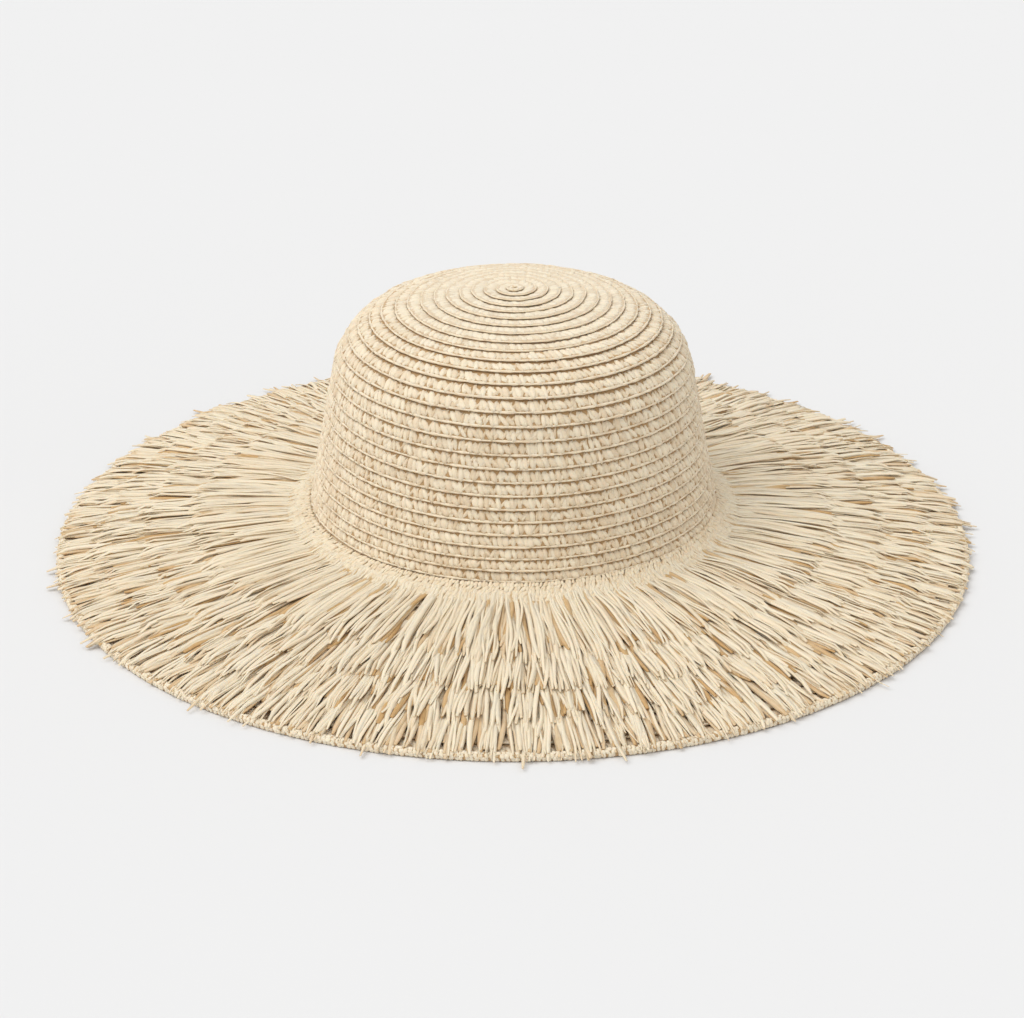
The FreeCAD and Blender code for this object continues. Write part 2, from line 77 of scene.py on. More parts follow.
# How each tier lies: how much of each strand's start is hidden under its tape, how far the ends reach past the
# tier's edge, how ragged the cut is where it is neatest and how much more it frays elsewhere, how low the bottom
# strands are, how thick the layer is, how light its bed of darker strands is, a painted shade beneath the layer,
# and the points along each strand.
TIER_PLANS = (
    dict(hidden=0.0030, reach=0.0010, ragged=0.0060, frayed=0.0010, low=-0.0004, loft=0.0017, tone=0.28, steps=10),
    dict(hidden=0.0080, reach=-0.0005, ragged=0.0009, frayed=0.0046, low=-0.0006, loft=0.0018, tone=0.28, steps=8),
    dict(hidden=0.0080, reach=0.0010, ragged=0.0055, frayed=0.0010, low=-0.0006, loft=0.0014, tone=0.28, steps=8),
    dict(hidden=0.0080, reach=0.0013, ragged=0.0012, frayed=0.0042, low=-0.0004, loft=0.0014, tone=0.42, steps=10),
)
NEATEST = math.radians(276.0)
# Every fourth strand lies low, wide and flat in a bed, toned darker as painted shade beneath the top strands.
BED_EVERY, BED_WIDTH, BED_LEAN = 4, 1.5, 0.3
BRIM_END = 0.2195  # from here out the strands lie over the rolled edge
STRAND_CLEARANCE = 0.0013


# ---- reading the frame


def outline(node):
    """The cross-section of a ring node: the radius and height of each of its vertices."""
    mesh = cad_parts[node].data
    co = np.zeros(len(mesh.vertices) * 3)
    mesh.vertices.foreach_get("co", co)
    co = co.reshape(-1, 3)
    points = np.column_stack((np.hypot(co[:, 0], co[:, 1]), co[:, 2]))
    return np.unique(np.round(points, 6), axis=0)


def extreme(points, column, side=1, room=0.0006):
    """The points nearest the highest value in a column, or with side -1 the lowest."""
    value = side * points[:, column]
    return points[value > value.max() - room]


def turn_line(node):
    """A braid turn's corded lip and its tucked edge, each as a radius and a height."""
    points = outline(node)
    outermost = points[points[:, RADIUS].argmax()]
    rim = points[np.hypot(*(points - outermost).T) < 2.02 * CORD_RADIUS]
    system = np.column_stack((2.0 * rim, np.ones(len(rim))))
    centre = np.linalg.lstsq(system, (rim**2).sum(1), rcond=None)[0][:2]
    away = np.hypot(*(points - centre).T)
    return centre, points[away > away.max() - 0.0004].mean(0)


class Winding:
    """The braid's lip and tuck lines as one spiral, counted in turns from the tip."""

    def __init__(self):
        names = ["crown_braid_row_%02d" % (n + 1) for n in range(CROWN_TURNS)]
        names += ["brim_braid_row_%02d" % (n + 1) for n in range(BRIM_TURNS)]
        lines = [turn_line(name) for name in names]
        tip = outline("crown_tip_button").max(0) - CORD_RADIUS
        self.names = names
        self.lips = np.array([tip] + [lip for lip, _ in lines])
        self.tucks = np.array([(0.0004, tip[1] - 0.001)] + [tuck for _, tuck in lines])
        self.last = len(names)

    def smooth(self, knots, turns):
        """Runs a smooth curve through the knots, one per turn, and reads it at each of the turns."""
        turns = np.clip(turns, 0.0, self.last)
        low = np.minimum(turns.astype(int), self.last - 1)
        t = (turns - low)[:, None]
        before, after = np.maximum(low - 1, 0), np.minimum(low + 2, self.last)
        a, b, c, d = knots[before], knots[low], knots[low + 1], knots[after]
        slope_b, slope_c = (c - a) / 2, (d - b) / 2
        return (
            (2 * t**3 - 3 * t**2 + 1) * b
            + (t**3 - 2 * t**2 + t) * slope_b
            + (3 * t**2 - 2 * t**3) * c
            + (t**3 - t**2) * slope_c
        )

    def lip(self, turns):
        """The corded lip. Before the first turn it winds in to the tip."""
        inward = np.clip(-turns, 0.0, 0.9)[:, None]
        even = self.smooth(self.lips, turns) * (1.0 - inward * [1.0, 0.0]) + inward * [0.0, TIP_RISE]
        return even + self.unevenness(turns)[:, None] * np.clip(even[:, :1] / STEADY_RADIUS, 0.0, 1.0) * [1.0, 0.3]

    def unevenness(self, turns):
        """How far the braid wanders from an even spiral, most where each turn passes its start."""
        wander = sum(size * np.sin(rate * turns + rate) for size, rate in WANDER)
        nearest = np.round(turns)
        kink = np.exp(-((np.abs(turns - nearest) / KINK_WIDTH) ** 2)) * np.clip(1.0 - turns / KINKED_TURNS, 0.0, 1.0)
        return wander + kink * KINK_SIZE * np.sin(KINK_RATE * nearest)

    def tuck(self, turns):
        return self.smooth(self.tucks, turns)

    def brim_height(self, radius):
        """The height of the brim's cords at each radius."""
        return np.interp(radius, *self.lips[CROWN_TURNS:].T)


winding = Winding()


# ---- meshes and node trees


def around(radius, height, azimuth):
    """Points on rings about the hat's axis."""
    return np.stack((radius * np.cos(azimuth), radius * np.sin(azimuth), height + 0.0 * azimuth), axis=-1)


def full_circle(steps):
    return np.arange(steps) / steps * 2 * math.pi


def make_object(name, points, faces=(), edges=()):
    mesh = bpy.data.meshes.new(name)
    mesh.from_pydata(np.asarray(points).reshape(-1, 3).tolist(), list(edges), list(faces))
    mesh.update()
    piece = bpy.data.objects.new(name, mesh)
    bpy.context.scene.collection.objects.link(piece)
    return piece


def give_attribute(piece, name, values, kind="FLOAT"):
    attribute = piece.data.attributes.new(name, kind, "POINT")
    field = "vector" if kind == "FLOAT_VECTOR" else "value"
    attribute.data.foreach_set(field, np.asarray(values, dtype=np.float32).ravel())


def band_faces(rings, corners, closed):
    """Quads between consecutive rings of corners, with a cap on each end where the band isn't closed."""
    faces = []
    for ring in range(rings if closed else rings - 1):
        here, there = ring * corners, (ring + 1) % rings * corners
        for n in range(corners):
            m = (n + 1) % corners
            faces.append((here + n, there + n, there + m, here + m))
    if not closed:
        last = (rings - 1) * corners
        faces.append(tuple(range(corners)))
        faces.append(tuple(last + n for n in reversed(range(corners))))
    return faces


def socket(sockets, name):
    """The enabled socket of that name."""
    return next(s for s in sockets if s.name == name and s.enabled)


class Nodes:
    """A node tree under construction. What an input is given is a socket to link from or a plain value."""

    def fill(self, target, given):
        if isinstance(given, bpy.types.NodeSocket):
            self.tree.links.new(given, target)
        else:
            target.default_value = given

    def node(self, kind, settings=None, **inputs):
        """Adds a node. In an input's name, _ stands for a space."""
        node = self.tree.nodes.new(kind)
        for key, setting in (settings or {}).items():
            setattr(node, key, setting)
        for key, given in inputs.items():
            self.fill(socket(node.inputs, key.replace("_", " ")), given)
        return node

    def math(self, operation, first, second=0.0, clamp=False):
        node = self.node("ShaderNodeMath", {"operation": operation, "use_clamp": clamp})
        self.fill(node.inputs[0], first)
        self.fill(node.inputs[1], second)
        return node.outputs[0]

    def plus(self, first, second, clamp=False):
        return self.math("ADD", first, second, clamp)

    def times(self, first, second):
        return self.math("MULTIPLY", first, second)

    def vector(self, x, y, z):
        return self.node("ShaderNodeCombineXYZ", X=x, Y=y, Z=z).outputs[0]


class Tree(Nodes):
    """A geometry node tree under construction. Each named input's kind is that of its default."""

    KINDS = {float: "Float", int: "Int", bool: "Bool", type(None): "Material"}

    def __init__(self, name, **inputs):
        self.tree = bpy.data.node_groups.new(name, "GeometryNodeTree")
        self.tree.interface.new_socket("Geometry", in_out="INPUT", socket_type="NodeSocketGeometry")
        self.keys = {}
        for key, default in inputs.items():
            kind = "NodeSocket" + self.KINDS[type(default)]
            item = self.tree.interface.new_socket(key.replace("_", " "), in_out="INPUT", socket_type=kind)
            if default is not None:
                item.default_value = default
            self.keys[key] = item.identifier
        self.tree.interface.new_socket("Geometry", in_out="OUTPUT", socket_type="NodeSocketGeometry")
        self.source = self.tree.nodes.new("NodeGroupInput")
        self.sink = self.tree.nodes.new("NodeGroupOutput")

    def value(self, name):
        return self.source.outputs[name]

    def attribute(self, name, kind="FLOAT"):
        node = self.node("GeometryNodeInputNamedAttribute", {"data_type": kind}, Name=name)
        return socket(node.outputs, "Attribute")

    def geometry(self, kind, settings=None, **inputs):
        """Adds a geometry node and gives its first output."""
        return self.node("GeometryNode" + kind, settings, **inputs).outputs[0]

    def optional(self, name, geometry):
        """The geometry where the named input is on, otherwise nothing."""
        chosen = {"Switch": self.value(name), "True": geometry}
        return self.geometry("Switch", {"input_type": "GEOMETRY"}, **chosen)

    def scaled(self, vector, factor):
        return self.node("ShaderNodeVectorMath", {"operation": "SCALE"}, Vector=vector, Scale=factor).outputs[0]

    def added(self, first, second):
        node = self.node("ShaderNodeVectorMath", {"operation": "ADD"})
        self.fill(node.inputs[0], first)
        self.fill(node.inputs[1], second)
        return node.outputs[0]

    def random(self, low, high, seed):
        node = self.node("FunctionNodeRandomValue", {"data_type": "FLOAT"}, Min=low, Max=high, Seed=seed)
        return socket(node.outputs, "Value")

    def along(self, line, step):
        """Points along a curve, a step apart, with the curve's direction at each."""
        spaced = self.geometry("ResampleCurve", {"mode": "LENGTH"}, Curve=line, Length=step)
        return self.node("GeometryNodeCurveToPoints", {"mode": "EVALUATED"}, Curve=spaced)

    def ball(self, segments, rings):
        ball = self.geometry("MeshUVSphere", Segments=segments, Rings=rings, Radius=1.0)
        return self.geometry("SetShadeSmooth", Geometry=ball)

    def finish(self, geometry):
        """Realizes the instances and gives every face the material."""
        out = self.geometry("RealizeInstances", Geometry=geometry)
        out = self.geometry("SetMaterial", Geometry=out, Material=self.value("Material"))
        self.tree.links.new(out, self.sink.inputs[0])
        return self


def apply_tree(piece, tree, **values):
    """Runs a tree on a piece and keeps the result as the piece's plain mesh."""
    modifier = piece.modifiers.new("Build", "NODES")
    modifier.node_group = tree.tree
    for key, value in values.items():
        modifier[tree.keys[key]] = value
    bpy.context.view_layer.update()
    graph = bpy.context.evaluated_depsgraph_get()
    mesh = bpy.data.meshes.new_from_object(piece.evaluated_get(graph), depsgraph=graph)
    piece.modifiers.clear()
    old, piece.data = piece.data, mesh
    bpy.data.meshes.remove(old)
    mesh.name = piece.name


def dress(piece, slot, *nodes):
    """Every piece of the hat rides on its one body and stands for its own nodes."""
    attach(piece, "root")
    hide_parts(*nodes)


# ---- finishes


class Finish(Nodes):
    """A material under construction, around its Principled shader."""

    def __init__(self, name):
        self.material = bpy.data.materials.new(name)
        self.material.use_nodes = True
        self.tree = self.material.node_tree
        self.shader = self.tree.nodes["Principled BSDF"]
        self.place = self.node("ShaderNodeTexCoord").outputs["Object"]

    def noise(self, scale, detail=2.0, place=None, roughness=0.5):
        inputs = {"Vector": place or self.place, "Scale": scale, "Detail": detail, "Roughness": roughness}
        return self.node("ShaderNodeTexNoise", **inputs).outputs["Fac"]

    def axes(self):
        """The height, and the angle round the hat, of each place."""
        axes = self.node("ShaderNodeSeparateXYZ", Vector=self.place).outputs
        return axes, self.math("ARCTAN2", axes["Y"], axes["X"])

    def polar(self, across, along):
        """A place whose x runs round the hat and whose y runs outwards, for streaks that run outwards."""
        axes, azimuth = self.axes()
        square = self.plus(self.math("POWER", axes["X"], 2.0), self.math("POWER", axes["Y"], 2.0))
        outwards = self.times(self.math("SQRT", square), along)
        return self.vector(self.times(azimuth, across), outwards, self.times(axes["Z"], along))

    def shade(self):
        """The tone of each strand or stitch, from 0, dark, to 1, light."""
        return self.node("ShaderNodeAttribute", {"attribute_name": "shade"}).outputs["Fac"]

    def spread(self, value, size):
        """A value between 0 and 1 as a change either way, of this size from end to end."""
        return self.times(self.math("SUBTRACT", value, 0.5), size)

    def ramp(self, factor, stops):
        ramp = self.node("ShaderNodeValToRGB", Fac=factor)
        elements = ramp.color_ramp.elements
        while len(elements) < len(stops):
            elements.new(0.5)
        for element, (position, colour) in zip(elements, stops):
            element.position, element.color = position, (*colour, 1.0)
        return ramp.outputs["Color"]

    def finish(self, tone, stops, bump=None, strength=0.3, distance=0.0003, **fixed):
        """Colours the surface by its tone, raises it by the bump and sets what is the same all over."""
        self.tree.links.new(self.ramp(tone, stops), self.shader.inputs["Base Color"])
        if bump is not None:
            normal = self.node("ShaderNodeBump", Height=bump, Strength=strength, Distance=distance)
            self.tree.links.new(normal.outputs[0], self.shader.inputs["Normal"])
        for key, value in fixed.items():
            self.shader.inputs[key.replace("_", " ")].default_value = value
        return self.material

    def let_through(self, weight, scale):
        """Lets a little warm light through, as thin plant fibre does."""
        self.shader.inputs["Subsurface Weight"].default_value = weight
        self.shader.inputs["Subsurface Radius"].default_value = (1.0, 0.65, 0.4)
        self.shader.inputs["Subsurface Scale"].default_value = scale


def mixed(first, second, share):
    """A colour between two others."""
    return tuple(a + (b - a) * share for a, b in zip(first, second))


BLACK = (0.0, 0.0, 0.0)


def straw_finish(light, dark):
    """Matt twisted paper: a tone for each stitch, broad drifts of colour and a fine fibre."""
    finish = Finish("paper_straw")
    finish.let_through(0.15, 0.0010)
    broad, fibre = finish.noise(38.0, 3.0), finish.noise(1500.0, 4.0, roughness=0.7)
    tone = finish.plus(finish.times(finish.shade(), 0.86), finish.times(broad, 0.14))
    tone = finish.plus(tone, finish.spread(fibre, 0.30), clamp=True)
    # The lowest tones, which the strips between the stitches carry, are painted shade in the creases.
    stops = (0.0, mixed(dark, BLACK, 0.35)), (0.3, dark), (0.72, mixed(dark, light, 0.8)), (1.0, light)
    surface = dict(strength=0.85, distance=0.0004, Roughness=0.82, Sheen_Weight=0.12, Sheen_Roughness=0.6)
    return finish.finish(tone, stops, fibre, **surface)


def raffia_finish(light, dark):
    """Dry raffia: a tone for each strand, streaks that run along it and a faint gloss."""
    finish = Finish("raffia")
    finish.let_through(0.18, 0.0012)
    streak, speck = finish.noise(1.0, 3.0, finish.polar(900.0, 60.0), 0.6), finish.noise(420.0, 3.0)
    tone = finish.plus(finish.shade(), finish.spread(streak, 0.42))
    tone = finish.plus(tone, finish.spread(speck, 0.18), clamp=True)
    # The low tones, which the bed and the lower strands carry, are painted shade beneath the top strands.
    stops = (0.0, mixed(dark, BLACK, 0.4)), (0.22, dark), (0.62, mixed(dark, light, 0.72)), (1.0, light)
    surface = dict(strength=0.35, Roughness=0.68, Sheen_Weight=0.08, Sheen_Roughness=0.5)
    return finish.finish(tone, stops, streak, **surface)


def tape_finish(colour):
    """Plain-woven cotton tape."""
    finish = Finish("cotton_tape")
    weave = finish.noise(1.0, 0.0, finish.polar(1600.0, 9000.0))
    tone = finish.plus(finish.times(weave, 0.5), finish.times(finish.shade(), 0.5))
    stops = (0.1, mixed(colour, (0.3, 0.16, 0.05), 0.5)), (0.8, colour)
    return finish.finish(tone, stops, weave, strength=0.4, Roughness=0.9)


def grosgrain_finish(colour):
    """Ribbed ribbon: fine ribs across its width, a little sheen."""
    finish = Finish("grosgrain")
    rib = finish.math("SINE", finish.times(finish.axes()[1], 820.0))
    tone = finish.plus(finish.times(rib, 0.2), finish.noise(60.0, 2.0))
    stops = (0.2, mixed(colour, (0.2, 0.14, 0.08), 0.35)), (0.8, colour)
    return finish.finish(tone, stops, rib, strength=0.5, Roughness=0.7, Sheen_Weight=0.3)


def thread_finish(colour):
    """Spun sewing thread."""
    finish = Finish("sewing_thread")
    ply = finish.noise(3000.0, 2.0)
    stops = (0.3, mixed(colour, (0.2, 0.14, 0.08), 0.3)), (0.7, colour)
    return finish.finish(ply, stops, ply, strength=0.3, Roughness=0.75, Sheen_Weight=0.2)


def label_finish(colour):
    """Satin-woven label cloth with nothing on it."""
    finish = Finish("label_cloth")
    weave = finish.node("ShaderNodeTexWave", Vector=finish.place, Scale=900.0, Distortion=0.6).outputs["Fac"]
    stops = (0.0, mixed(colour, (0.4, 0.35, 0.3), 0.3)), (1.0, colour)
    return finish.finish(weave, stops, weave, strength=0.15, Roughness=0.45, Sheen_Weight=0.2)


def steel_finish():
    """Drawn spring wire."""
    finish = Finish("drawn_wire")
    draw = finish.noise(1.0, 2.0, finish.polar(40.0, 5000.0))
    stops = (0.3, (0.42, 0.42, 0.41)), (0.7, (0.62, 0.62, 0.61))
    return finish.finish(draw, stops, draw, strength=0.1, Roughness=0.35, Metallic=1.0)


FINISHES = {
    "straw": (straw_finish, "straw_light", "straw_dark"),
    "raffia": (raffia_finish, "raffia_light", "raffia_dark"),
    "tape": (tape_finish, "tape"),
    "grosgrain": (grosgrain_finish, "ribbon"),
    "thread": (thread_finish, "thread"),
    "label": (label_finish, "label"),
    "steel": (steel_finish,),
}


@cache
def material(kind):
    """The finish of that kind, made on first use from the chosen colours."""
    maker, *fields = FINISHES[kind]
    return maker(*(getattr(bpy.context.scene.hat_colours, field) for field in fields))


# ---- the braid


class Ground:
    """What a braid is built up from: bare strips, and guide lines for the cords and rows of stitches."""

    VECTORS = ("up", "out")

    def __init__(self):
        self.points, self.faces, self.edges, self.count = [], [], [], 0
        self.fields = {key: [] for key in ("shade", "rise", "reach", "plump", "on_line", *self.VECTORS)}

    def add(self, points, **fields):
        points = np.asarray(points).reshape(-1, 3)
        start, self.count = self.count, self.count + len(points)
        self.points.append(points)
        for key, values in self.fields.items():
            shape = (len(points), 3) if key in self.VECTORS else (len(points),)
            values.append(np.broadcast_to(fields.get(key, 0.0), shape))
        return start

    def strip(self, rings, closed, shade):
        """A strip through the given rings of corners, which run counter-clockwise seen from its end."""
        start = self.add(rings, shade=shade)
        for face in band_faces(len(rings), rings.shape[1], closed):
            self.faces.append(tuple(start + n for n in face))

    def tube(self, section, azimuth, shade):
        """A closed strip right round the hat, with the given cross-section."""
        self.strip(around(section[None, :, 0], section[None, :, 1], azimuth[:, None]), True, shade)

    def line(self, points, closed, **fields):
        """A guide line. Its up points along the stitches, which stand up times rise away from it."""
        start, count = self.add(points, on_line=1.0, **fields), len(points)
        self.edges += [(start + n, start + (n + 1) % count) for n in range(count if closed else count - 1)]

    def ring(self, place, up, out, azimuth, **fields):
        """A guide line right round the hat."""
        fields.update(up=around(*up, azimuth), out=around(*out, azimuth))
        self.line(around(*place, azimuth), True, **fields)

    def make(self, name):
        piece = make_object(name, np.concatenate(self.points), self.faces, self.edges)
        for key, values in self.fields.items():
            give_attribute(piece, key, np.concatenate(values), "FLOAT_VECTOR" if key in self.VECTORS else "FLOAT")
        return piece


@cache
def braid_tree():
    """Lays a cord on each guide line, and beside it two rows of plump stitches that cross."""
    sizes = dict(Cord_radius=CORD_RADIUS, Spacing=0.0030, Width=0.0034, Depth=0.00095, Fill=1.29, Lean=0.45)
    tones = dict(Unevenness=1.0, Cord_tone=0.74, Tone=0.72, Tone_spread=0.11)
    tree = Tree("Braid stitches", **sizes, **tones, Corded=True, Crossed=True, Seed=1, Material=None)
    marked = tree.math("GREATER_THAN", tree.attribute("on_line"), 0.5)
    split = tree.node("GeometryNodeSeparateGeometry", Geometry=tree.value("Geometry"), Selection=marked)
    line = tree.geometry("MeshToCurve", Mesh=split.outputs["Selection"])
    section = tree.geometry("CurvePrimitiveCircle", Resolution=8, Radius=tree.value("Cord radius"))
    lumps = tree.random(0.66, 1.30, tree.value("Seed"))
    cord = tree.geometry("CurveToMesh", Curve=line, Profile_Curve=section, Scale=lumps, Fill_Caps=True)
    cord = tree.geometry("SetShadeSmooth", Geometry=cord)
    mottled = tree.plus(tree.value("Cord tone"), tree.random(-0.2, 0.2, tree.value("Seed")))
    cord = tree.geometry("StoreNamedAttribute", Geometry=cord, Name="shade", Value=mottled)
    parts = [split.outputs["Inverted"], tree.optional("Corded", cord)]
    spacing, uneven = tree.value("Spacing"), tree.value("Unevenness")
    for side, segments, rings, share in ((1.0, 7, 5, 1.0), (-1.0, 5, 4, 0.66)):
        front = side > 0.0
        seed = tree.plus(tree.value("Seed"), 5000.0 * (1.5 - side))
        points = tree.along(line, spacing)

        def varied(low, high, step):
            """A number for each stitch, further from the middle of its range the more uneven the braid is."""
            middle, half = (low + high) / 2, (high - low) / 2
            return tree.plus(tree.times(tree.random(-half, half, tree.plus(seed, step)), uneven), middle)

        up, out = tree.attribute("up", "FLOAT_VECTOR"), tree.attribute("out", "FLOAT_VECTOR")
        rise = tree.times(tree.attribute("rise"), varied(0.93, 1.07, 1.0))
        shift = tree.times(spacing, varied(-0.26, 0.26, 2.0))
        if not front:
            shift = tree.plus(shift, tree.times(spacing, 0.5))
        offset = tree.added(tree.scaled(up, rise), tree.scaled(socket(points.outputs, "Tangent"), shift))
        placed = tree.geometry("SetPosition", Geometry=points.outputs[0], Offset=offset)
        upright = {"primary_axis": "Z", "secondary_axis": "Y"}
        axes = tree.node("FunctionNodeAxesToRotation", upright, Primary_Axis=out, Secondary_Axis=up).outputs[0]
        lean = tree.times(tree.times(tree.value("Lean"), side), varied(0.1, 1.9, 3.0))
        turn = tree.vector(varied(-0.12, 0.12, 4.0), varied(-0.2, 0.2, 5.0), lean)
        turn = tree.node("FunctionNodeEulerToRotation", Euler=turn).outputs[0]
        own = {"rotation_space": "LOCAL"}
        facing = tree.node("FunctionNodeRotateRotation", own, Rotation=axes, Rotate_By=turn).outputs[0]
        size = tree.vector(
            tree.times(tree.times(tree.value("Width"), 0.5 * share), varied(0.70, 1.24, 6.0)),
            tree.times(tree.times(tree.attribute("reach"), tree.value("Fill")), varied(0.80, 1.08, 7.0)),
            tree.times(
                tree.times(tree.value("Depth"), tree.attribute("plump")),
                varied(0.65, 1.3, 8.0) if front else varied(0.6, 1.0, 8.0),
            ),
        )
        laid = {"Points": placed, "Instance": tree.ball(segments, rings), "Rotation": facing, "Scale": size}
        laid = tree.geometry("InstanceOnPoints", **laid)
        drawn = tree.times(tree.random(-1.0, 1.0, tree.plus(seed, 9.0)), tree.value("Tone spread"))
        tone = tree.plus(drawn, tree.math("SUBTRACT", tree.value("Tone"), 0.0 if front else 0.10))
        stored = {"Geometry": laid, "Name": "shade", "Value": tone}
        laid = tree.geometry("StoreNamedAttribute", {"domain": "INSTANCE"}, **stored)
        parts.append(laid if front else tree.optional("Crossed", laid))
    join = tree.node("GeometryNodeJoinGeometry")
    for part in reversed(parts):
        tree.tree.links.new(part, join.inputs[0])
    return tree.finish(join.outputs[0])


def braid_turn(name, first, last, flat=0.0, tone=0.10, step=0.0021):
    """The strip and lip line of a length of the spiral braid, counted in turns. A flat turn has a thicker strip."""
    middle = winding.lip(np.array([(first + last) / 2]))[0, 0]
    count = max(24, int(2 * math.pi * max(middle, 0.003) * (last - first) / step))
    turns = np.linspace(first, last, count + 1)
    azimuth = TURN_START + 2 * math.pi * turns
    lip, tuck, before = winding.lip(turns), winding.tuck(turns), winding.lip(turns - 1.0)
    up = (tuck - lip) / np.hypot(*(tuck - lip).T)[:, None]
    out = np.column_stack((up[:, 1], -up[:, 0]))
    half = STRIP_HALF + STRIP_EXTRA * flat
    low = lip + up * STRIP_START
    corners = (low - out * half, low + out * half, tuck + out * STRIP_HALF, tuck - out * STRIP_HALF)
    ground = Ground()
    # Outer face: the given tone, painted shade in the creases between stitches, less on flat turns; inner: plain straw.
    outer = tone + 0.5 * flat
    shade = np.tile((INNER_TONE, outer, outer, INNER_TONE), count + 1)
    ground.strip(np.stack([around(*c.T, azimuth) for c in corners], axis=1), False, shade)
    gap = np.hypot(*(lip - before).T)
    fields = {"rise": gap * (0.43 + 0.15 * flat), "reach": gap / 2 - STRIP_START, "plump": 1.0 - 0.2 * flat}
    fields.update(up=around(*up.T, azimuth), out=around(*out.T, azimuth))
    ground.line(around(*lip.T, azimuth), False, **fields)
    return ground.make(name)


BRAID_INPUTS = ("Spacing", "Width", "Depth", "Fill", "Lean", "Unevenness", "Cord_tone", "Tone", "Tone_spread")


def stitch_braid(piece, seed, **changed):
    """Builds up a braid piece's cord and stitches from the braid settings, save those that are given."""
    braid = bpy.context.scene.hat_braid
    values = {key: getattr(braid, key.lower()) for key in BRAID_INPUTS}
    values.update(Cord_radius=CORD_RADIUS, Corded=True, Crossed=True, Seed=braid.seed + seed)
    values["Material"] = material("straw")
    apply_tree(piece, braid_tree(), **{**values, **changed})


# ---- the fringe


@cache
def fringe_tree():
    """Gives each guide line its width and roll, and makes it a flat, closed strand."""
    tree = Tree("Fringe strands", Flatness=0.38, Corners=5, Material=None)
    line = tree.geometry("MeshToCurve", Mesh=tree.value("Geometry"))
    line = tree.geometry("SetCurveNormal", {"mode": "Z_UP"}, Curve=line)
    line = tree.geometry("SetCurveTilt", Curve=line, Tilt=tree.attribute("roll"))
    section = tree.geometry("CurvePrimitiveCircle", Resolution=tree.value("Corners"), Radius=1.0)
    section = tree.geometry("Transform", Geometry=section, Scale=tree.vector(1.0, tree.value("Flatness"), 1.0))
    swept = {"Curve": line, "Profile Curve": section, "Scale": tree.attribute("half_width"), "Fill Caps": True}
    return tree.finish(tree.geometry("SetShadeSmooth", Geometry=tree.geometry("CurveToMesh", **swept)))


def strand_lines(piece_name, paths, half_width, roll, shade):
    """One guide line for each strand, with its width, roll and tone along it."""
    strands, steps = paths.shape[:2]
    starts = np.arange(strands)[:, None] * steps + np.arange(steps - 1)
    edges = np.stack((starts, starts + 1), axis=-1).reshape(-1, 2).tolist()
    piece = make_object(piece_name, paths, (), edges)
    for key, values in (("half_width", half_width), ("roll", roll), ("shade", shade)):
        give_attribute(piece, key, np.broadcast_to(values, (strands, steps)))
    return piece


def tier_line(tier):
    """Where a tier's strands run, as radii and heights through the middle of its layer, from its tape out."""
    points, tape = outline("fringe_tier_%d" % tier), outline("fringe_header_tape_%d" % tier)
    root, tip = extreme(points, RADIUS, -1).mean(0), extreme(points, RADIUS).mean(0)
    held = extreme(tape, RADIUS, -1).max(0) + [0.0, 0.0004]
    return held, root, tip


